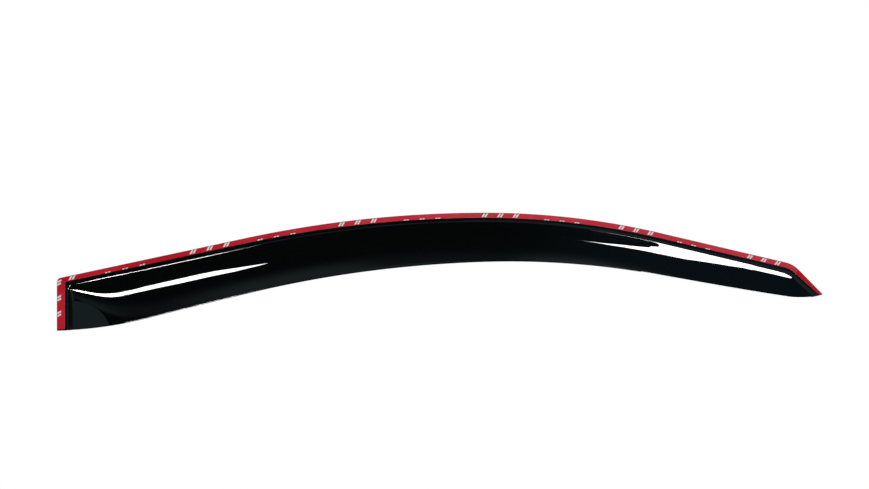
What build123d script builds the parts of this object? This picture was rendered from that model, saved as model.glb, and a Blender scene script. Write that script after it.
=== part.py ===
from build123d import *
import os
from math import cos, radians, sin, sqrt, tan

# Window rain deflector for a front left-hand door, modelled as it sits on the door.
# X runs forward along the door, Z points up and -Y points at the car.
# The origin lies on the bonding face, on the centreline of the top strip, at the highest point of the arch.

# Arch of the top edge: a straight run, two arcs that meet at the apex, and a straight run
rear_reach = 536.0
front_reach = 386.0
rear_arch_radius = 1430.0
rear_arch_angle = 12.1
front_arch_radius = 960.0
front_arch_angle = 13.2

# Lower edge, given by the height below the top edge at four places and by its two lifted ends
crown_setback = 110.0
crown_height = 74.3
apex_height = 61.8
shoulder_reach = 190.0
shoulder_height = 54.4
front_height = 42.2
rear_lift = 13.6
tip_lift = 10.0
tip_lift_run = 42.0

# Slanted front edge: how far the tip stands ahead of the corner, and where the sections start to lean
tip_reach = 37.0
lean_run = 170.0

# Rounded ends of the top edge
rear_corner_radius = 6.0
front_corner_radius = 34.0

# Wall and section: flat flange, step, and a panel that curves away from the glass
wall = 2.5
flange_width = 9.0
step_run = 9.0
step_depth = 5.6
flange_bend = 5.0
panel_bend = 2.0
ridge_setback = 1.5
panel_angle = 30.0
panel_radius = 130.0
edge_round = 0.25

# Ends that close the panel onto the rear flange, by a step and a slope, and onto the slanted front edge
rear_flange = 12.0
rear_step_run = 8.0
rear_step_depth = 8.0
rear_end_angle = 17.5
corner_setback = 16.5
tip_setback = 6.5
front_end_angle = 30.0
end_bend = 4.0
end_sharpness = 5

# Adhesive tape and its release liner
tape_width = 6.0
rear_tape_width = 10.0
tip_tape_width = 3.0
tape_margin = 0.3
tape_end_gap = 1.5
tape_thickness = 0.8
liner_thickness = 0.1
tape_corner = 3.0

# Sections through each stretch of the panel, and spans between the control points across it
rear_zone = 160.0
front_zone = 160.0
rear_step_section_count = 4
rear_section_count = 6
middle_section_count = 4
front_section_count = 7
panel_span_count = 6
fold_crowding = 2.0

os.makedirs("parts", exist_ok=True)

rear_x = -rear_reach
tip_x = front_reach + tip_reach
crown_x = rear_x + crown_setback
apex_z = tape_margin + tape_width / 2
flange_y = tape_thickness + liner_thickness


# Outline of the deflector, seen from the car


def arch_side(x):
    """Radius and slope angle of the arch on the side of the apex where x lies."""
    if x < 0:
        return rear_arch_radius, radians(rear_arch_angle)
    return front_arch_radius, radians(front_arch_angle)


def top_z(x):
    """Height of the top edge at x."""
    radius, angle = arch_side(x)
    arc_run = radius * sin(angle)
    if abs(x) <= arc_run:
        return apex_z - radius + sqrt(radius**2 - x**2)
    return apex_z - radius * (1 - cos(angle)) - (abs(x) - arc_run) * tan(angle)


def inward_normal(x):
    """Unit normal of the top edge at x, pointing down into the deflector."""
    radius, angle = arch_side(x)
    across = max(-sin(angle), min(sin(angle), x / radius))
    return Vector(-across, 0, -sqrt(1 - across**2))


def height(x):
    """Height of the deflector below its top edge: a cubic through four places, lifted at both ends."""
    places = {crown_x: crown_height, 0: apex_height, shoulder_reach: shoulder_height, front_reach: front_height}
    tall = 0
    for place, weight in places.items():
        for other in places:
            if other != place:
                weight *= (x - other) / (place - other)
        tall += weight
    rear_share = max(0, crown_x - x) / crown_setback
    tip_share = max(0, x - tip_x + tip_lift_run) / tip_lift_run
    return tall - rear_lift * rear_share**2 - tip_lift * tip_share**2


def top_point(x):
    return Vector(x, flange_y, top_z(x))


def foot_point(x):
    return Vector(x, flange_y, top_z(x) - height(x))


# Depth of the panel, held under its two ends

rear_fold_x = rear_x + rear_flange
rear_step_end = rear_fold_x + rear_step_run
front_fold_x = front_reach - corner_setback
front_fold_foot_x = tip_x - tip_setback
front_fold = foot_point(front_fold_foot_x) - top_point(front_fold_x)
front_fold_normal = Vector(front_fold.Z, 0, -front_fold.X).normalized()


def slope_height(distance, angle):
    """Rise of a sloped end at a distance from its fold, with a soft start."""
    return tan(radians(angle)) * (sqrt(max(0, distance) ** 2 + end_bend**2) - end_bend)


def step_height(distance):
    """Rise of the rounded rear step at a distance from its fold."""
    share = max(0, min(1, distance / rear_step_run))
    return rear_step_depth * share**2 * (3 - 2 * share)


def end_height(point):
    """Height to which the nearer end holds the panel at a point."""
    from_rear = point.X - rear_fold_x
    from_front = (point - top_point(front_fold_x)).dot(front_fold_normal)
    rear = step_height(from_rear) + slope_height(from_rear, rear_end_angle)
    return min(rear, slope_height(from_front, front_end_angle))


def held_depth(depth, limit):
    """The smaller of a depth and its limit, with a soft change from one to the other."""
    if depth <= 0 or limit <= 0:
        return 0.0
    return depth * limit / (depth**end_sharpness + limit**end_sharpness) ** (1 / end_sharpness)


# Sections through the shield


def skin_curves(top, fall, length, lean, flange, base):
    """Control points of one skin in a section: its step curve and its panel curve.

    Points are (depth, distance from the top edge), on a section that falls from top along fall.
    lean turns a distance square to the arch into one along the section.
    """
    start = flange + step_run
    run = length / lean - start
    panel = []
    for i in range(panel_span_count + 1):
        share = i / panel_span_count
        curve_share = i * (i - 1) / (panel_span_count * (panel_span_count - 1))
        depth = step_depth + tan(radians(panel_angle)) * run * share
        depth -= run**2 / (2 * panel_radius) * curve_share
        along = (start + run * share) * lean
        panel.append(Vector(base + held_depth(depth, end_height(top + fall * along)), along))
    back = (panel[0] - panel[1]) * (panel_bend * panel_span_count / run)
    if back.X < 0:
        back *= held_depth(-back.X, panel[0].X - base) / -back.X
    step = [
        Vector(base, flange * lean),
        Vector(base, (flange + flange_bend) * lean),
        panel[0] + back,
        panel[0],
    ]
    return step, panel


def shield_section(top_x, foot_x):
    """Sketch of the wall of the shield, on the plane from its top edge to its lower edge."""
    top = top_point(top_x)
    reach = foot_point(foot_x) - top
    fall = reach.normalized()
    length = reach.length - edge_round
    lean = 1 / fall.dot(inward_normal(top_x))
    inner_step, inner_panel = skin_curves(top, fall, length, lean, flange_width, 0)
    outer_step, outer_panel = skin_curves(top, fall, length, lean, flange_width - ridge_setback, wall)
    edge_middle = (inner_panel[-1] + outer_panel[-1]) / 2 + Vector(0, edge_round)
    with BuildSketch(Plane(top, x_dir=(0, 1, 0), z_dir=(fall.Z, 0, -fall.X))) as section:
        with BuildLine():
            Line((0, 0), inner_step[0])
            Bezier(*inner_step)
            Bezier(*inner_panel)
            ThreePointArc(inner_panel[-1], edge_middle, outer_panel[-1])
            Bezier(*reversed(outer_panel))
            Bezier(*reversed(outer_step))
            Line(outer_step[0], (wall, 0))
            Line((wall, 0), (0, 0))
        make_face()
    return section.sketch


def section_foot(x):
    """Place of the lower end of a section: sections lean forward near the slanted front edge."""
    share = max(0, x - front_fold_x + lean_run) / lean_run
    return x + (front_fold_foot_x - front_fold_x) * share**2


def section_row(start, end, count, crowding=1.0):
    """Places from start up to, but not including, end. Crowding above 1 draws them towards start."""
    return [start + (end - start) * (i / count) ** crowding for i in range(count)]


rear_zone_end = rear_fold_x + rear_zone
front_zone_start = front_fold_x - front_zone
step_row = section_row(rear_fold_x, rear_step_end, rear_step_section_count)
rear_row = section_row(rear_step_end, rear_zone_end, rear_section_count, fold_crowding)
middle_row = section_row(rear_zone_end, front_zone_start, middle_section_count)
front_row = section_row(front_fold_x, front_zone_start, front_section_count, fold_crowding)
section_places = step_row + rear_row + middle_row + [front_zone_start] + front_row[::-1]

# Shield: rear flange, panel with its top flange, and front flange

with BuildPart() as shield:
    loft([shield_section(rear_x, rear_x), shield_section(rear_fold_x, rear_fold_x)])
    loft([shield_section(place, section_foot(place)) for place in section_places])
    loft([shield_section(front_fold_x, front_fold_foot_x), shield_section(front_reach, tip_x)])
    fillet(shield.edges().filter_by(Axis.Y).sort_by(Axis.X)[0], rear_corner_radius)
    fillet(shield.edges().filter_by(Axis.Y).sort_by(Axis.X)[-1], front_corner_radius)

shield.part.label = "shield"
export_step(shield.part, "parts/shield.step")

# Tape and liner strips, drawn on the flange as seen from the car


def flat(point):
    return (point.X, point.Z)


corner = top_point(front_reach)
front_edge = foot_point(tip_x) - corner
front_along = front_edge.normalized()
front_inward = Vector(front_along.Z, 0, -front_along.X)
arch_inward = inward_normal(front_reach)
corner_inward = (front_inward + arch_inward).normalized()
corner_centre = corner + corner_inward * (front_corner_radius / corner_inward.dot(front_inward))
rear_seam_x = rear_x + tape_margin + rear_tape_width


def corner_point(inward, inset):
    """Point on the rounded front corner where its edge faces inward, at an inset from that edge."""
    return flat(corner_centre - inward * (front_corner_radius - inset))


def arch_line(inset):
    """Line at an inset from the top edge, from the rear strip to the far end of the rounded front corner."""
    rear_arc = CenterArc((0, apex_z - rear_arch_radius), rear_arch_radius - inset, 90, rear_arch_angle)
    front_arc = CenterArc(
        (0, apex_z - front_arch_radius), front_arch_radius - inset, 90 - front_arch_angle, front_arch_angle
    )
    rear_start = (rear_seam_x, top_z(rear_seam_x) - inset / cos(radians(rear_arch_angle)))
    bends = [corner_point(inward, inset) for inward in (arch_inward, corner_inward, front_inward)]
    Line(rear_start, rear_arc @ 1)
    Line(front_arc @ 0, bends[0])
    ThreePointArc(*bends)
    return rear_start, bends[-1]


def top_strip(plane):
    """Arched strip along the top flange, from the rear strip round the front corner."""
    with BuildSketch(plane) as strip:
        with BuildLine():
            outer_ends = arch_line(tape_margin)
            inner_ends = arch_line(tape_margin + tape_width)
            Line(outer_ends[0], inner_ends[0])
            Line(outer_ends[1], inner_ends[1])
        make_face()
    return strip.sketch


def rear_strip(plane):
    """Upright strip on the rear flange, rounded at its top outer and lower inner corners."""
    outer_x = rear_x + tape_margin
    top_drop = tape_margin / cos(radians(rear_arch_angle))
    with BuildSketch(plane) as strip:
        with BuildLine():
            Polyline(
                (outer_x, top_z(outer_x) - top_drop),
                (rear_seam_x, top_z(rear_seam_x) - top_drop),
                (rear_seam_x, top_z(rear_seam_x) - height(rear_seam_x) + tape_end_gap),
                (outer_x, top_z(outer_x) - height(outer_x) + tape_end_gap),
                close=True,
            )
        make_face()
        fillet(strip.vertices().group_by(Axis.X)[-1].sort_by(Axis.Y)[0], tape_corner)
        fillet(strip.vertices().group_by(Axis.X)[0].sort_by(Axis.Y)[-1], rear_corner_radius - tape_margin)
    return strip.sketch


def front_strip(plane):
    """Strip along the slanted front edge, tapering to the tip."""
    last = corner + front_along * (front_edge.length - tape_end_gap)
    with BuildSketch(plane) as strip:
        with BuildLine():
            Polyline(
                corner_point(front_inward, tape_margin),
                flat(last + front_inward * tape_margin),
                flat(last + front_inward * (tape_margin + tip_tape_width)),
                corner_point(front_inward, tape_margin + tape_width),
                close=True,
            )
        make_face()
    return strip.sketch


tape_plane = Plane.XZ.offset(-flange_y)
liner_plane = Plane.XZ.offset(-liner_thickness)

with BuildPart() as top_tape:
    extrude(top_strip(tape_plane), amount=tape_thickness)

with BuildPart() as rear_tape:
    extrude(rear_strip(tape_plane), amount=tape_thickness)

with BuildPart() as front_tape:
    extrude(front_strip(tape_plane), amount=tape_thickness)

with BuildPart() as top_liner:
    extrude(top_strip(liner_plane), amount=liner_thickness)

with BuildPart() as rear_liner:
    extrude(rear_strip(liner_plane), amount=liner_thickness)

with BuildPart() as front_liner:
    extrude(front_strip(liner_plane), amount=liner_thickness)

strips = {
    "top_tape": top_tape,
    "rear_tape": rear_tape,
    "front_tape": front_tape,
    "top_liner": top_liner,
    "rear_liner": rear_liner,
    "front_liner": front_liner,
}
for name, strip in strips.items():
    strip.part.label = name
    export_step(strip.part, f"parts/{name}.step")
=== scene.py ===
from math import atan, comb, cos, radians, sin, sqrt, tan

import bpy
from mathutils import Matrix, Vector


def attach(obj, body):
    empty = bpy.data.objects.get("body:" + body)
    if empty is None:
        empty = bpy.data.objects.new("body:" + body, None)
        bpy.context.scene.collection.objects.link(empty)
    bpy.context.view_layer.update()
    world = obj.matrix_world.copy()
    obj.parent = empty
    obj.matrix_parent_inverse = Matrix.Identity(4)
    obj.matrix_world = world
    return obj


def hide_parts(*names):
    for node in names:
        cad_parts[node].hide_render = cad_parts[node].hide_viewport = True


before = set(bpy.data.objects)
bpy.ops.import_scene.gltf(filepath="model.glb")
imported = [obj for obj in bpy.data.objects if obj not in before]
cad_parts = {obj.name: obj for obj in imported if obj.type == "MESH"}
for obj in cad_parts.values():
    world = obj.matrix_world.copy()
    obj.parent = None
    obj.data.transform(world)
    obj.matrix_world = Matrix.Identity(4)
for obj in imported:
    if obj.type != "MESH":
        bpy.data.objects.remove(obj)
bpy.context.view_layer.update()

# Sizes are in millimetres, as in the solids. Meshes, lamps and the camera are placed in metres.
MM = 0.001

# Arch of the top edge: a straight run, two arcs that meet at the apex, and a straight run
REAR_REACH = 536.0
FRONT_REACH = 386.0
REAR_ARCH_RADIUS = 1430.0
REAR_ARCH_ANGLE = radians(12.1)
FRONT_ARCH_RADIUS = 960.0
FRONT_ARCH_ANGLE = radians(13.2)

# Lower edge and slanted front edge
CROWN_SETBACK = 110.0
CROWN_HEIGHT = 74.3
APEX_HEIGHT = 61.8
SHOULDER_REACH = 190.0
SHOULDER_HEIGHT = 54.4
FRONT_HEIGHT = 42.2
REAR_LIFT = 13.6
TIP_LIFT = 10.0
TIP_LIFT_RUN = 42.0
TIP_REACH = 37.0
LEAN_RUN = 170.0

# Rounded ends of the top edge
REAR_CORNER_RADIUS = 6.0
FRONT_CORNER_RADIUS = 34.0

# Section of the shield, with a wall a hair thinner than the solid's so that the fine mesh stays inside it
WALL = 2.46
FLANGE_WIDTH = 9.0
STEP_RUN = 9.0
STEP_DEPTH = 5.6
FLANGE_BEND = 5.0
PANEL_BEND = 2.0
RIDGE_SETBACK = 1.5
PANEL_SLOPE = tan(radians(30.0))
PANEL_RADIUS = 130.0
PANEL_SPANS = 6
EDGE_ROUND = 0.25

# Ends of the panel: a step and a slope at the rear, a slope at the front
REAR_FLANGE = 12.0
REAR_STEP_RUN = 8.0
REAR_STEP_DEPTH = 8.0
REAR_END_SLOPE = tan(radians(17.5))
CORNER_SETBACK = 16.5
TIP_SETBACK = 6.5
FRONT_END_SLOPE = tan(radians(30.0))
END_BEND = 4.0
END_SHARPNESS = 5

# Tape and liner film
TAPE_WIDTH = 6.0
REAR_TAPE_WIDTH = 10.0
TIP_TAPE_WIDTH = 3.0
TAPE_MARGIN = 0.3
TAPE_END_GAP = 1.5
TAPE_THICKNESS = 0.8
LINER_THICKNESS = 0.1
TAPE_CORNER = 3.0

# Fineness of the shield's mesh
FLANGE_STEPS = 4
STEP_STEPS = 22
PANEL_STEPS = 44
EDGE_STEPS = 8
END_STATIONS = 130
END_ZONE = 160.0
END_CROWDING = 1.5
MIDDLE_STATIONS = 140
FLAP_STATIONS = 24
SHARP_ANGLE = radians(40.0)

REAR_X = -REAR_REACH
TIP_X = FRONT_REACH + TIP_REACH
CROWN_X = REAR_X + CROWN_SETBACK
APEX_Z = TAPE_MARGIN + TAPE_WIDTH / 2
FLANGE_Y = TAPE_THICKNESS + LINER_THICKNESS
REAR_FOLD_X = REAR_X + REAR_FLANGE
FRONT_FOLD_X = FRONT_REACH - CORNER_SETBACK
FRONT_FOLD_FOOT_X = TIP_X - TIP_SETBACK


# Outline of the deflector


def arch_side(x):
    """Radius and slope angle of the arch on the side of the apex where x lies."""
    if x < 0:
        return REAR_ARCH_RADIUS, REAR_ARCH_ANGLE
    return FRONT_ARCH_RADIUS, FRONT_ARCH_ANGLE


def inset_z(x, inset):
    """Height at x of the line that runs at an inset inside the top edge."""
    radius, angle = arch_side(x)
    inner = radius - inset
    arc_run = inner * sin(angle)
    if abs(x) <= arc_run:
        return APEX_Z - radius + sqrt(inner**2 - x**2)
    return APEX_Z - radius + inner * cos(angle) - (abs(x) - arc_run) * tan(angle)


def inward_normal(x):
    """Unit normal of the top edge at x, pointing down into the deflector."""
    radius, angle = arch_side(x)
    across = max(-sin(angle), min(sin(angle), x / radius))
    return Vector((-across, 0, -sqrt(1 - across**2)))


def height(x):
    """Height of the deflector below its top edge."""
    places = {
        CROWN_X: CROWN_HEIGHT,
        0: APEX_HEIGHT,
        SHOULDER_REACH: SHOULDER_HEIGHT,
        FRONT_REACH: FRONT_HEIGHT,
    }
    tall = 0
    for place, weight in places.items():
        for other in places:
            if other != place:
                weight *= (x - other) / (place - other)
        tall += weight
    rear_share = max(0, CROWN_X - x) / CROWN_SETBACK
    tip_share = max(0, x - TIP_X + TIP_LIFT_RUN) / TIP_LIFT_RUN
    return tall - REAR_LIFT * rear_share**2 - TIP_LIFT * tip_share**2


def top_point(x):
    """Point of the top edge at x, on the inner face of the flange."""
    return Vector((x, FLANGE_Y, inset_z(x, 0)))


def foot_point(x):
    """Point of the lower edge at x, in the plane of the flange's inner face."""
    return Vector((x, FLANGE_Y, inset_z(x, 0) - height(x)))


front_fold = foot_point(FRONT_FOLD_FOOT_X) - top_point(FRONT_FOLD_X)
front_fold_normal = Vector((front_fold.z, 0, -front_fold.x)).normalized()


class RoundCorner:
    """Rounded end of the top edge, between the arch and an end edge with its own inward normal."""

    def __init__(self, x, end_inward, radius):
        self.arch_inward = inward_normal(x)
        self.end_inward = end_inward
        self.radius = radius
        middle = (self.arch_inward + end_inward).normalized()
        self.centre = top_point(x) + middle * (radius / middle.dot(end_inward))
        self.start_x = self.point(0, 0).x
        self.side = 1 if x > self.start_x else -1

    def point(self, share, inset):
        """Point at a share of the way round from the arch to the end edge, at an inset from the edge."""
        inward = self.arch_inward.lerp(self.end_inward, share).normalized()
        return self.centre - inward * (self.radius - inset)

    def cut(self, top, fall):
        """Length that the corner takes off a section that falls from top."""
        if (top.x - self.start_x) * self.side <= 0:
            return 0.0
        across = self.centre - top
        along = across.dot(fall)
        return along - sqrt(max(0, self.radius**2 - across.length_squared + along**2))


corner = top_point(FRONT_REACH)
tip = foot_point(TIP_X)
front_along = (tip - corner).normalized()
front_inward = Vector((front_along.z, 0, -front_along.x))
rear_corner = RoundCorner(REAR_X, Vector((1, 0, 0)), REAR_CORNER_RADIUS)
front_corner = RoundCorner(FRONT_REACH, front_inward, FRONT_CORNER_RADIUS)


# Wall of the shield


def slope_height(distance, slope):
    """Rise of a sloped end at a distance from its fold, with a soft start."""
    return slope * (sqrt(max(0, distance) ** 2 + END_BEND**2) - END_BEND)


def step_height(distance):
    """Rise of the rounded rear step at a distance from its fold."""
    share = max(0, min(1, distance / REAR_STEP_RUN))
    return REAR_STEP_DEPTH * share**2 * (3 - 2 * share)


def end_height(point):
    """Height to which the nearer end holds the panel at a point."""
    from_rear = point.x - REAR_FOLD_X
    from_front = (point - top_point(FRONT_FOLD_X)).dot(front_fold_normal)
    rear = step_height(from_rear) + slope_height(from_rear, REAR_END_SLOPE)
    return min(rear, slope_height(from_front, FRONT_END_SLOPE))


def held_depth(depth, limit):
    """The smaller of a depth and its limit, with a soft change from one to the other."""
    if depth <= 0 or limit <= 0:
        return 0.0
    return depth * limit / (depth**END_SHARPNESS + limit**END_SHARPNESS) ** (1 / END_SHARPNESS)


def curve(points, steps):
    """Points along a Bezier curve, with its last point left out."""
    order = len(points) - 1
    for k in range(steps):
        t = k / steps
        weights = [comb(order, i) * t**i * (1 - t) ** (order - i) for i in range(order + 1)]
        yield sum((p * w for p, w in zip(points, weights)), Vector((0, 0)))


def straight(start, end, steps):
    """Points along a straight line, with its last point left out."""
    for k in range(steps):
        yield start.lerp(end, k / steps)


def skin_curves(top, fall, length, lean, flange, base):
    """Control points of one skin: its step and its panel, as (depth, distance from the top edge)."""
    start = flange + STEP_RUN
    run = length / lean - start
    panel = []
    for i in range(PANEL_SPANS + 1):
        share = i / PANEL_SPANS
        curve_share = i * (i - 1) / (PANEL_SPANS * (PANEL_SPANS - 1))
        depth = STEP_DEPTH + PANEL_SLOPE * run * share - run**2 / (2 * PANEL_RADIUS) * curve_share
        along = (start + run * share) * lean
        panel.append(Vector((base + held_depth(depth, end_height(top + fall * along)), along)))
    back = (panel[0] - panel[1]) * (PANEL_BEND * PANEL_SPANS / run)
    if back.x < 0:
        back *= held_depth(-back.x, panel[0].x - base) / -back.x
    flange_end = Vector((base, flange * lean))
    step = [flange_end, flange_end + Vector((0, FLANGE_BEND * lean)), panel[0] + back, panel[0]]
    return step, panel


def wall_loop(top_x, foot_x):
    """Points round the wall: down the inner skin, round the lower edge and up the outer skin."""
    top = top_point(top_x)
    reach = foot_point(foot_x) - top
    fall = reach.normalized()
    length = reach.length - EDGE_ROUND
    lean = 1 / fall.dot(inward_normal(top_x))
    inner_step, inner_panel = skin_curves(top, fall, length, lean, FLANGE_WIDTH, 0)
    outer_step, outer_panel = skin_curves(top, fall, length, lean, FLANGE_WIDTH - RIDGE_SETBACK, WALL)
    inner_foot, outer_foot = inner_panel[-1], outer_panel[-1]
    half = (outer_foot - inner_foot) / 2
    cut = rear_corner.cut(top, fall) + front_corner.cut(top, fall)
    points = [*straight(Vector((0, cut)), inner_step[0], FLANGE_STEPS)]
    points += [*curve(inner_step, STEP_STEPS), *curve(inner_panel, PANEL_STEPS)]
    for k in range(EDGE_STEPS):
        turn = radians(180) * k / EDGE_STEPS
        points.append(inner_foot + half * (1 - cos(turn)) + Vector((0, EDGE_ROUND * sin(turn))))
    points += [*curve(outer_panel[::-1], PANEL_STEPS), *curve(outer_step[::-1], STEP_STEPS)]
    points += [*straight(outer_step[0], Vector((WALL, cut)), FLANGE_STEPS), Vector((WALL, cut))]
    return [top + fall * p.y + Vector((0, p.x, 0)) for p in points]


def section_foot(x):
    """Place of the lower end of a section, which leans forward near the slanted front edge."""
    share = max(0, x - FRONT_FOLD_X + LEAN_RUN) / LEAN_RUN
    return x + (FRONT_FOLD_FOOT_X - FRONT_FOLD_X) * share**2


def stations():
    """Top and foot of every section, from the rear edge to the slanted front edge."""
    for k in range(FLAP_STATIONS):
        x = REAR_X + REAR_FLANGE * (k / FLAP_STATIONS) ** 2
        yield x, x
    rear_end = REAR_FOLD_X + END_ZONE
    front_start = FRONT_FOLD_X - END_ZONE
    end_runs = [END_ZONE * (k / END_STATIONS) ** END_CROWDING for k in range(END_STATIONS + 1)]
    places = [REAR_FOLD_X + run for run in end_runs[:-1]]
    places += [rear_end + (front_start - rear_end) * k / MIDDLE_STATIONS for k in range(MIDDLE_STATIONS)]
    places += [FRONT_FOLD_X - run for run in end_runs[:0:-1]]
    for x in places:
        yield x, section_foot(x)
    for k in range(FLAP_STATIONS + 1):
        share = 1 - (1 - k / FLAP_STATIONS) ** 2
        yield FRONT_FOLD_X + CORNER_SETBACK * share, FRONT_FOLD_FOOT_X + TIP_SETBACK * share


def mesh_piece(name, points, faces):
    """Object from points in millimetres, smooth apart from its sharp edges."""
    mesh = bpy.data.meshes.new(name)
    mesh.from_pydata([p * MM for p in points], [], faces)
    mesh.validate()
    mesh.shade_smooth()
    mesh.set_sharp_from_angle(angle=SHARP_ANGLE)
    piece = bpy.data.objects.new(name, mesh)
    bpy.context.scene.collection.objects.link(piece)
    return piece


def loop_faces(loops, round_count):
    """Quads between rows of points that each close on themselves, with a cap at both ends."""
    faces = [tuple(range(round_count))]
    for row in range(loops - 1):
        for k in range(round_count):
            a = row * round_count + k
            b = row * round_count + (k + 1) % round_count
            faces.append((b, a, a + round_count, b + round_count))
    faces.append(tuple(reversed(range((loops - 1) * round_count, loops * round_count))))
    return faces


def shield_piece():
    """Moulded shield, with the fine mesh that its gloss needs."""
    loops = [wall_loop(top_x, foot_x) for top_x, foot_x in stations()]
    points = [point for loop in loops for point in loop]
    return mesh_piece("smoked_shield", points, loop_faces(len(loops), len(loops[0])))


# Liner film on the tape


def film_piece(name, pairs, roll_place):
    """Thin film between pairs of points (outer edge, inner edge).

    Its map holds the place across the film and along the roll that it was cut from.
    """
    points = []
    places = []
    run = 0.0
    middle = None
    for pair in pairs:
        outer, inner = (Vector((edge.x, 0, edge.z)) for edge in pair)
        centre = (outer + inner) / 2
        if middle is not None:
            run += (centre - middle).length
        middle = centre
        width = (inner - outer).length
        for edge, across, y in (
            (outer, 0, 0),
            (inner, width, 0),
            (inner, width, LINER_THICKNESS),
            (outer, 0, LINER_THICKNESS),
        ):
            points.append(edge + Vector((0, y, 0)))
            places.append((roll_place(run), across))
    piece = mesh_piece(name, points, loop_faces(len(pairs), 4))
    film_map = piece.data.uv_layers.new(name="film")
    for loop in piece.data.loops:
        film_map.data[loop.index].uv = Vector(places[loop.vertex_index]) * MM
    return piece


FILM_STATIONS = 260
FILM_CORNER_STEPS = 12
FOOT_CORNER_STEPS = 8
REAR_ROLL_START = 138.0
FRONT_ROLL_START = 30.0
TOP_ROLL_RATE = 0.863
TOP_ROLL_GAIN = 0.00013
rear_seam_x = REAR_X + TAPE_MARGIN + REAR_TAPE_WIDTH
inner_inset = TAPE_MARGIN + TAPE_WIDTH


def inset_point(x, inset):
    """Point at x on the bonding plane, at an inset inside the top edge."""
    return Vector((x, 0, inset_z(x, inset)))


def top_roll_place(run):
    """Place on the roll at a run along the top film, which is stretched most where it starts."""
    return run * (TOP_ROLL_RATE + TOP_ROLL_GAIN * run)


def top_film():
    """Film along the arched top flange and round the front corner."""
    ends = [front_corner.point(0, inset).x for inset in (TAPE_MARGIN, inner_inset)]
    pairs = []
    for k in range(FILM_STATIONS):
        outer_x, inner_x = (rear_seam_x + (end - rear_seam_x) * k / FILM_STATIONS for end in ends)
        pairs.append((inset_point(outer_x, TAPE_MARGIN), inset_point(inner_x, inner_inset)))
    for k in range(FILM_CORNER_STEPS + 1):
        share = k / FILM_CORNER_STEPS
        pairs.append((front_corner.point(share, TAPE_MARGIN), front_corner.point(share, inner_inset)))
    return film_piece("top_liner_film", pairs, top_roll_place)


def rear_film():
    """Film on the rear flange, rounded at its top outer and lower inner corners."""
    outer_x = REAR_X + TAPE_MARGIN
    gap = Vector((0, 0, TAPE_END_GAP))
    foot_outer, foot_inner = foot_point(outer_x) + gap, foot_point(rear_seam_x) + gap
    slope = atan((foot_inner.z - foot_outer.z) / (foot_inner.x - foot_outer.x))
    rise = TAPE_CORNER * tan((radians(90) - slope) / 2)
    centre = Vector((rear_seam_x - TAPE_CORNER, 0, foot_inner.z + rise))
    top_inner = inset_point(rear_seam_x, TAPE_MARGIN)
    shoulder = Vector((rear_seam_x, 0, rear_corner.centre.z))
    pairs = []
    for k in range(FILM_CORNER_STEPS + 1):
        share = k / FILM_CORNER_STEPS
        pairs.append((rear_corner.point(share, TAPE_MARGIN), top_inner.lerp(shoulder, share)))
    for k in range(FOOT_CORNER_STEPS + 1):
        share = k / FOOT_CORNER_STEPS
        turn = (slope - radians(90)) * share
        inner = centre + Vector((cos(turn), 0, sin(turn))) * TAPE_CORNER
        pairs.append((Vector((outer_x, 0, centre.z)).lerp(foot_outer, share), inner))
    return film_piece("rear_liner_film", pairs, lambda run: REAR_ROLL_START + run)


def front_film():
    """Film along the slanted front edge, tapering to the tip."""
    last = tip - front_along * TAPE_END_GAP
    start = (front_corner.point(1, TAPE_MARGIN), front_corner.point(1, inner_inset))
    end = (last + front_inward * TAPE_MARGIN, last + front_inward * (TAPE_MARGIN + TIP_TAPE_WIDTH))
    return film_piece("front_liner_film", [start, end], lambda run: FRONT_ROLL_START + run)


# Finishes


class Value:
    """A shader socket that takes part in plain expressions."""

    def __init__(self, nodes, socket):
        self.nodes = nodes
        self.socket = socket

    def maths(self, operation, first, second):
        return self.nodes.add("ShaderNodeMath", {"operation": operation}, {0: first, 1: second})

    def __add__(self, other):
        return self.maths("ADD", self, other)

    def __sub__(self, other):
        return self.maths("SUBTRACT", self, other)

    def __rsub__(self, other):
        return self.maths("SUBTRACT", other, self)

    def __mul__(self, other):
        return self.maths("MULTIPLY", self, other)

    def __mod__(self, other):
        return self.maths("FLOORED_MODULO", self, other)

    def __lt__(self, other):
        return self.maths("LESS_THAN", self, other)

    def __gt__(self, other):
        return self.maths("GREATER_THAN", self, other)

    def __abs__(self):
        return self.maths("ABSOLUTE", self, 0.0)

    def either(self, other):
        """The larger of two values."""
        return self.maths("MAXIMUM", self, other)

    __radd__ = __add__
    __rmul__ = __mul__


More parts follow.
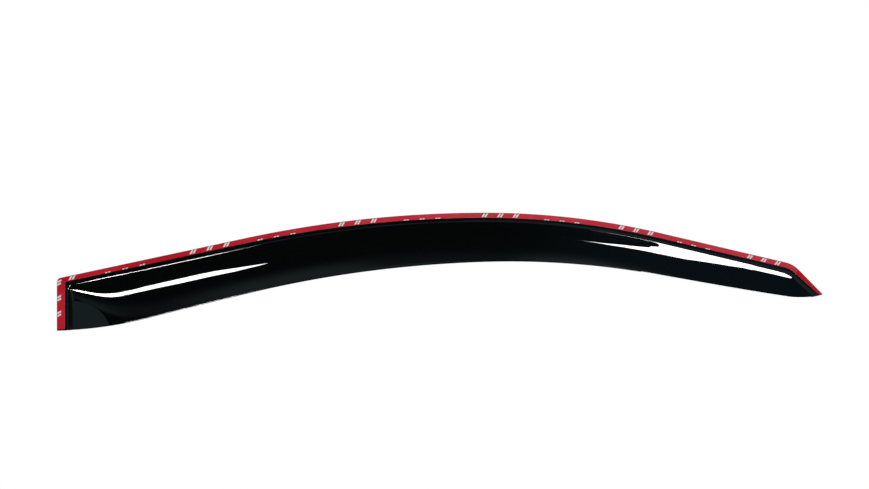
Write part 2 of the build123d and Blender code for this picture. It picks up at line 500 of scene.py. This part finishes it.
class Nodes:
    """Node tree of one finish."""

    def __init__(self, tree):
        self.tree = tree
        tree.nodes.clear()

    def add(self, kind, settings, sockets, output=0):
        """A node of a kind, with its settings and then the values or links of its sockets."""
        node = self.tree.nodes.new(kind)
        for name, value in settings.items():
            setattr(node, name, value)
        for name, value in sockets.items():
            if isinstance(value, Value):
                self.tree.links.new(value.socket, node.inputs[name])
            else:
                node.inputs[name].default_value = value
        if not node.outputs:
            return None
        return Value(self, node.outputs[output])

    def ramp(self, factor, low, high):
        """0 below low, 1 above high and a soft rise between them."""
        sockets = {"Value": factor, "From Min": low, "From Max": high}
        return self.add("ShaderNodeMapRange", {"interpolation_type": "SMOOTHSTEP"}, sockets)

    def place(self):
        """Place on the object."""
        return self.add("ShaderNodeTexCoord", {}, {}, output=3)

    def parts(self, vector):
        """The three parts of a vector."""
        node = self.add("ShaderNodeSeparateXYZ", {}, {0: vector}).socket.node
        return [Value(self, output) for output in node.outputs]

    def noise(self, place, scale, detail=3.0):
        return self.add("ShaderNodeTexNoise", {}, {"Vector": place, "Scale": scale, "Detail": detail})

    def mix(self, factor, first, second):
        """Colour between two colours."""
        return self.add(
            "ShaderNodeMix", {"data_type": "RGBA"}, {"Factor": factor, 6: first, 7: second}, output=2
        )

    def end(self, shader):
        self.add("ShaderNodeOutputMaterial", {}, {"Surface": shader})

    def surface(self, sockets):
        """Principled surface that ends the tree."""
        self.end(self.add("ShaderNodeBsdfPrincipled", {}, sockets))

    def emission(self, colour, strength=1.0):
        return self.add("ShaderNodeEmission", {}, {"Color": colour, "Strength": strength})


def new_finish(name):
    """Material and its empty node tree."""
    material = bpy.data.materials.new(name)
    material.use_nodes = True
    return material, Nodes(material.node_tree)


DUST_SHARE = 0.02


def smoke_acrylic():
    """Polished smoked acrylic: almost black, with faint handling haze and a few specks of dust."""
    material, nodes = new_finish("polished_smoke_acrylic")
    place = nodes.place()
    cloud = nodes.ramp(nodes.noise(place, scale=9.0), 0.35, 0.7)
    haze = nodes.ramp(nodes.noise(place, scale=24.0, detail=5.0), 0.55, 0.8)
    speck = nodes.add("ShaderNodeTexVoronoi", {}, {"Vector": place, "Scale": 160.0})
    dust = speck < DUST_SHARE
    ripple = nodes.noise(place, scale=55.0, detail=1.0)
    bump = nodes.add("ShaderNodeBump", {}, {"Height": ripple, "Strength": 0.04, "Distance": 0.0004})
    tint = nodes.mix(cloud, (0.0008, 0.0011, 0.0012, 1), (0.0013, 0.0017, 0.0018, 1))
    nodes.surface(
        {
            "Base Color": nodes.mix(dust, tint, (0.02, 0.021, 0.022, 1)),
            "Roughness": 0.014 + haze * 0.012 + dust * 0.02,
            "Normal": bump,
            "IOR": 1.49,
        }
    )
    return material


def foam_tape():
    """Grey closed-cell foam."""
    material, nodes = new_finish("grey_foam")
    place = nodes.place()
    cells = nodes.add("ShaderNodeTexVoronoi", {}, {"Vector": place, "Scale": 2600.0})
    cloud = nodes.noise(place, scale=140.0)
    bump = nodes.add("ShaderNodeBump", {}, {"Height": cells, "Strength": 0.35, "Distance": 0.0001})
    shade = nodes.ramp(cells + cloud * 0.6, 0.2, 1.1)
    nodes.surface(
        {
            "Base Color": nodes.mix(shade, (0.16, 0.16, 0.165, 1), (0.3, 0.3, 0.305, 1)),
            "Roughness": 0.8 + shade * 0.15,
            "Normal": bump,
        }
    )
    return material


# Printing on the film, in metres: groups of slanted double bars in two rows that alternate,
# one of them cut off by the edge of the strip
PRINT_PERIOD = 0.176
PRINT_PITCH = 0.0195
PRINT_START = 0.142
EDGE_PRINT_START = 0.220
BAR_LENGTH = 0.0058
BAR_HEIGHT = 0.0046
BAR_SLIT = 0.0012
BAR_SLANT = 0.5
BARS = 3
ROW_CENTRE = 0.0037
EDGE_ROW_CENTRE = 0.0079
ROW_DRIFT = 0.0016
# Run along the strip, in metres, over which painted light turns the film paler towards the front
PAINTED_LIGHT_RUN = (0.1, 0.5)


def bar_row(run, across, start, centre):
    """Mask of one row of printed bars, given its start along the strip and its centre across it."""
    side = across - centre
    place = (run + side * BAR_SLANT - start) % PRINT_PERIOD
    in_group = place < PRINT_PITCH * BARS
    in_mark = place % PRINT_PITCH
    in_bar = (in_mark < BAR_LENGTH) * (abs(in_mark - BAR_LENGTH / 2) > BAR_SLIT / 2)
    in_row = abs(side) < BAR_HEIGHT / 2
    return in_group * in_bar * in_row


def red_liner():
    """Crimson release film with plain white printed bars, with painted light that makes it paler and
    pinker towards the front.
    """
    material, nodes = new_finish("crimson_release_film")
    place = nodes.place()
    run, across, _ = nodes.parts(nodes.add("ShaderNodeUVMap", {"uv_map": "film"}, {}))
    drifted = across + nodes.noise(place, scale=7.0, detail=1.0) * ROW_DRIFT
    middle_row = bar_row(run, drifted, PRINT_START, ROW_CENTRE)
    edge_row = bar_row(run, drifted, EDGE_PRINT_START, EDGE_ROW_CENTRE)
    printed = middle_row.either(edge_row)
    cloud = nodes.ramp(nodes.noise(place, scale=16.0, detail=4.0), 0.3, 0.75)
    grain = nodes.noise(place, scale=900.0, detail=2.0)
    bump = nodes.add("ShaderNodeBump", {}, {"Height": grain + cloud, "Strength": 0.08, "Distance": 0.0002})
    # Painted light: the film goes from deep crimson to a paler red along the strip, standing in for light
    # that falls on it from the front
    deep_red = nodes.mix(cloud, (0.46, 0.008, 0.018, 1), (0.56, 0.018, 0.034, 1))
    painted_light_red = nodes.mix(cloud, (0.55, 0.03, 0.05, 1), (0.62, 0.05, 0.08, 1))
    red = nodes.mix(nodes.ramp(run, *PAINTED_LIGHT_RUN), deep_red, painted_light_red)
    nodes.surface(
        {
            "Base Color": nodes.mix(printed, red, (0.8, 0.78, 0.78, 1)),
            "Roughness": 0.34 + grain * 0.18,
            "Normal": bump,
            "Specular IOR Level": 0.02,
        }
    )
    return material


# Pieces

acrylic = smoke_acrylic()
foam = foam_tape()
film = red_liner()

shield = shield_piece()
shield.data.materials.append(acrylic)
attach(shield, "root")
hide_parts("shield")

for piece, node in ((top_film(), "top_liner"), (rear_film(), "rear_liner"), (front_film(), "front_liner")):
    piece.data.materials.append(film)
    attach(piece, "root")
    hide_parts(node)

for node in ("top_tape", "rear_tape", "front_tape"):
    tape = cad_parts[node]
    tape.data.materials.clear()
    tape.data.materials.append(foam)


# Floor, cards and light, in metres

WHITE = (1, 1, 1, 1)
FLOOR_Z = -0.45
FLOOR_RADIUS = 6.0
FLOOR_SIDES = 96
FLOOR_SHADE = 0.35
SHADOW_REACH = 0.5
WHITE_REACH = 0.95
AMBIENT = 0.35


def seen_directly(nodes):
    """1 for rays from the camera, from gloss and through glass."""
    path = nodes.add("ShaderNodeLightPath", {}, {}).socket.node
    names = ("Is Camera Ray", "Is Glossy Ray", "Is Transmission Ray")
    camera, glossy, transmission = (Value(nodes, path.outputs[name]) for name in names)
    return camera.either(glossy).either(transmission)


def white_world():
    """White surroundings, at a lower level where they light the object."""
    world = bpy.data.worlds.new("white_room")
    bpy.context.scene.world = world
    world.use_nodes = True
    nodes = Nodes(world.node_tree)
    strength = AMBIENT + seen_directly(nodes) * (1 - AMBIENT)
    background = nodes.add("ShaderNodeBackground", {}, {"Color": WHITE, "Strength": strength})
    nodes.add("ShaderNodeOutputWorld", {}, {"Surface": background})


def pale_floor():
    """Pale floor that keeps the shadow of the object and fades into the white surroundings."""
    material, nodes = new_finish("pale_floor")
    place = nodes.place()
    reach = nodes.add("ShaderNodeVectorMath", {"operation": "LENGTH"}, {0: place}, output=1)
    shade = FLOOR_SHADE * (1 - nodes.ramp(reach, SHADOW_REACH, WHITE_REACH))
    tone = nodes.mix(nodes.noise(place, scale=3.0), (0.8, 0.8, 0.8, 1), (0.83, 0.83, 0.83, 1))
    matte = nodes.add("ShaderNodeBsdfDiffuse", {}, {"Color": tone})
    white_share = seen_directly(nodes) * (1 - shade)
    nodes.end(nodes.add("ShaderNodeMixShader", {}, {0: white_share, 1: matte, 2: nodes.emission(WHITE)}))
    bpy.ops.mesh.primitive_circle_add(
        vertices=FLOOR_SIDES, radius=FLOOR_RADIUS, fill_type="NGON", location=(0, 0, FLOOR_Z)
    )
    floor = bpy.context.object
    floor.name = "floor"
    floor.data.materials.append(material)


def gloss_card(name, points, faces, material):
    """Card that only gloss sees."""
    mesh = bpy.data.meshes.new(name)
    mesh.from_pydata(points, [], faces)
    mesh.materials.append(material)
    card = bpy.data.objects.new(name, mesh)
    bpy.context.scene.collection.objects.link(card)
    card.visible_camera = False
    card.visible_diffuse = False
    card.visible_transmission = False
    card.visible_volume_scatter = False
    card.visible_shadow = False


CARD_Z = -0.43
CARD_SIDE = 3.0
CARD_PROFILE = [(0.5, 0.0), (-1.9, 0.0), (-2.2, 0.12), (-2.35, 0.5), (-2.4, 1.2)]
CARD_SIDE_TOP = 1.2
CARD_SIDE_BACK = 3.0
BAND_RISE = (-0.40, -0.62)
BAND_FALL = (-0.72, -0.95)
BAND_LEFT_RISE = (-0.5, -0.25)
BAND_LEFT_FALL = (-0.2, -0.05)
BAND_LEFT = 0.5
BAND_RIGHT_RISE = (0.0, 0.14)
BAND_LEAST = 0.15
SHEEN_RISE = (0.0, 0.2)
CARD_TONE = (0.018, 0.028, 0.028, 1)
CARD_RIGHT_TONE = (0.055, 0.1, 0.13, 1)
BAND_TONE = (0.48, 0.56, 0.6, 1)


def profile_strip(profile):
    """Points and faces of a card that runs across the scene along a profile of (depth, height) pairs."""
    points = [(x, y, CARD_Z + z) for y, z in profile for x in (-CARD_SIDE, CARD_SIDE)]
    faces = [(2 * k, 2 * k + 1, 2 * k + 3, 2 * k + 2) for k in range(len(profile) - 1)]
    return points, faces


def dark_card():
    """Dark card under, before and beside the object, which keeps its gloss black, with a paler band."""
    material, nodes = new_finish("dark_card")
    side, depth, _ = nodes.parts(nodes.place())
    band = nodes.ramp(depth, *BAND_RISE) * (1 - nodes.ramp(depth, *BAND_FALL))
    left = BAND_LEFT * nodes.ramp(side, *BAND_LEFT_RISE) * (1 - nodes.ramp(side, *BAND_LEFT_FALL))
    right = nodes.ramp(side, *BAND_RIGHT_RISE)
    level = band * left.either(right).either(BAND_LEAST)
    sheen = nodes.mix(nodes.ramp(side, *SHEEN_RISE), CARD_TONE, CARD_RIGHT_TONE)
    nodes.end(nodes.emission(nodes.mix(level, sheen, BAND_TONE)))
    points, faces = profile_strip(CARD_PROFILE)
    back, front = CARD_SIDE_BACK, CARD_PROFILE[-1][0]
    wall = [(back, 0), (front, 0), (front, CARD_SIDE_TOP), (back, CARD_SIDE_TOP)]
    for x in (-CARD_SIDE, CARD_SIDE):
        first = len(points)
        points += [(x, y, CARD_Z + z) for y, z in wall]
        faces.append((first, first + 1, first + 2, first + 3))
    gloss_card("dark_card", points, faces, material)


BACK_CARD_PROFILE = [(0.5, 0.0), (2.0, 0.0), (2.4, 0.3), (2.5, 1.0), (2.5, 4.0)]
BACK_CARD_FADE = (0.9, 3.4)
BACK_CARD_TOP_TONE = (0.75, 0.8, 0.82, 1)


def back_card():
    """Dark card behind the object, paler towards its top, which the outer face mirrors."""
    material, nodes = new_finish("back_card")
    rise = nodes.parts(nodes.place())[2]
    nodes.end(nodes.emission(nodes.mix(nodes.ramp(rise, *BACK_CARD_FADE), CARD_TONE, BACK_CARD_TOP_TONE)))
    gloss_card("back_card", *profile_strip(BACK_CARD_PROFILE), material)


GREY_CARD_Z = -0.429
GREY_CARD_TOP = 0.6
GREY_CARD_FLAT = [(-0.33, -0.66), (3.0, -0.66), (3.0, -1.85), (0.0, -1.85)]
GREY_CARD_STEP = (0.75, -0.13)
GREY_CARD_TONE = (0.2, 0.3, 0.32, 1)


def grey_card():
    """Grey card at the front right, which the sloped rear end mirrors."""
    material, nodes = new_finish("grey_card")
    nodes.end(nodes.emission(GREY_CARD_TONE))
    points = [(x, y, GREY_CARD_Z) for x, y in GREY_CARD_FLAT]
    (right, back), (left, _) = GREY_CARD_FLAT[2:]
    step_x, step_z = GREY_CARD_STEP
    points += [(right, back, GREY_CARD_TOP), (step_x, back, GREY_CARD_TOP)]
    points += [(step_x, back, step_z), (left, back, step_z)]
    gloss_card("grey_card", points, [(0, 1, 2, 3), (3, 2, 4, 5, 6, 7)], material)


# Lit cards, in millimetres
LIGHT_CARD_Z = -400.0
LIGHT_CARD_BRIGHTNESS = 40.0
LIGHT_CORE_Z = -399.5
LIGHT_CORE_BRIGHTNESS = 200.0
LEFT_LIGHT_OUTLINE = [
    (-515, -315), (-484, -303), (-459, -302), (-451, -287), (-436, -268), (-410, -257), (-382, -257),
    (-338, -261), (-309, -267), (-253, -295), (-238, -303), (-253, -306), (-284, -306), (-313, -298),
    (-357, -292), (-399, -286), (-425, -292), (-436, -303), (-446, -339), (-462, -343), (-500, -362),
]
RIGHT_LIGHT_OUTLINE = [
    (98, -263), (130, -260), (176, -246), (212, -236), (254, -215), (300, -198), (309, -200), (311, -150),
    (336, -140), (336, 30), (167, 40), (167, -200), (164, -225), (149, -238), (121, -257), (106, -262),
]
LEFT_CORE_OUTLINE = [
    (-495, -318), (-465, -313), (-454, -311), (-446, -293), (-433, -276), (-408, -266), (-382, -266),
    (-338, -270), (-311, -276), (-280, -291), (-285, -297), (-313, -289), (-357, -283), (-399, -277),
    (-427, -283), (-441, -297), (-453, -331), (-465, -333), (-492, -346),
]
BACK_LIGHT_Z = 1500.0
BACK_LIGHT_BRIGHTNESS = 14.0
BACK_LIGHT_OUTLINE = [(-1100, 900), (900, 900), (900, 1150), (-1100, 1150)]


def light_card(name, points, brightness):
    """White lit card, with its points in millimetres."""
    material, nodes = new_finish(name)
    nodes.end(nodes.emission(WHITE, brightness))
    gloss_card(name, [Vector(p) * MM for p in points], [tuple(range(len(points)))], material)


def light_cards():
    """Lit cards under the object for the streaks on its inner face, and one above and behind it."""
    for name, outline, z, brightness in (
        ("left_light_card", LEFT_LIGHT_OUTLINE, LIGHT_CARD_Z, LIGHT_CARD_BRIGHTNESS),
        ("left_light_core", LEFT_CORE_OUTLINE, LIGHT_CORE_Z, LIGHT_CORE_BRIGHTNESS),
        ("right_light_card", RIGHT_LIGHT_OUTLINE, LIGHT_CARD_Z, LIGHT_CARD_BRIGHTNESS),
        ("back_light_card", BACK_LIGHT_OUTLINE, BACK_LIGHT_Z, BACK_LIGHT_BRIGHTNESS),
    ):
        light_card(name, [(x, y, z) for x, y in outline], brightness)


SOFTBOX_SIZE = (2.4, 1.4)
SOFTBOX_PLACE = (0.0, -2.0, 1.8)
SOFTBOX_TILT = radians(48.0)
SOFTBOX_POWER = 40.0


def overhead_softbox():
    """Broad soft lamp above and before the object."""
    light = bpy.data.lights.new("overhead_softbox", "AREA")
    light.shape = "RECTANGLE"
    light.size, light.size_y = SOFTBOX_SIZE
    light.energy = SOFTBOX_POWER
    lamp = bpy.data.objects.new("overhead_softbox", light)
    lamp.location = SOFTBOX_PLACE
    lamp.rotation_euler = (SOFTBOX_TILT, 0, 0)
    lamp.visible_camera = False
    bpy.context.scene.collection.objects.link(lamp)


white_world()
pale_floor()
dark_card()
back_card()
grey_card()
light_cards()
overhead_softbox()


# Camera

CAMERA_DISTANCE = 3.0
CAMERA_X = -0.0632
CAMERA_Z = -0.0365
FRAME_WIDTH = 1.0876
SENSOR = 36.0
FAR_CLIP = 50.0
lens = bpy.data.cameras.new("camera")
lens.sensor_width = SENSOR
lens.lens = SENSOR * CAMERA_DISTANCE / FRAME_WIDTH
lens.clip_end = FAR_CLIP
camera = bpy.data.objects.new("camera", lens)
camera.location = (CAMERA_X, -CAMERA_DISTANCE, CAMERA_Z)
camera.rotation_euler = (radians(90), 0, 0)
bpy.context.scene.collection.objects.link(camera)
bpy.context.scene.camera = camera
bpy.context.scene.view_settings.view_transform = "Standard"
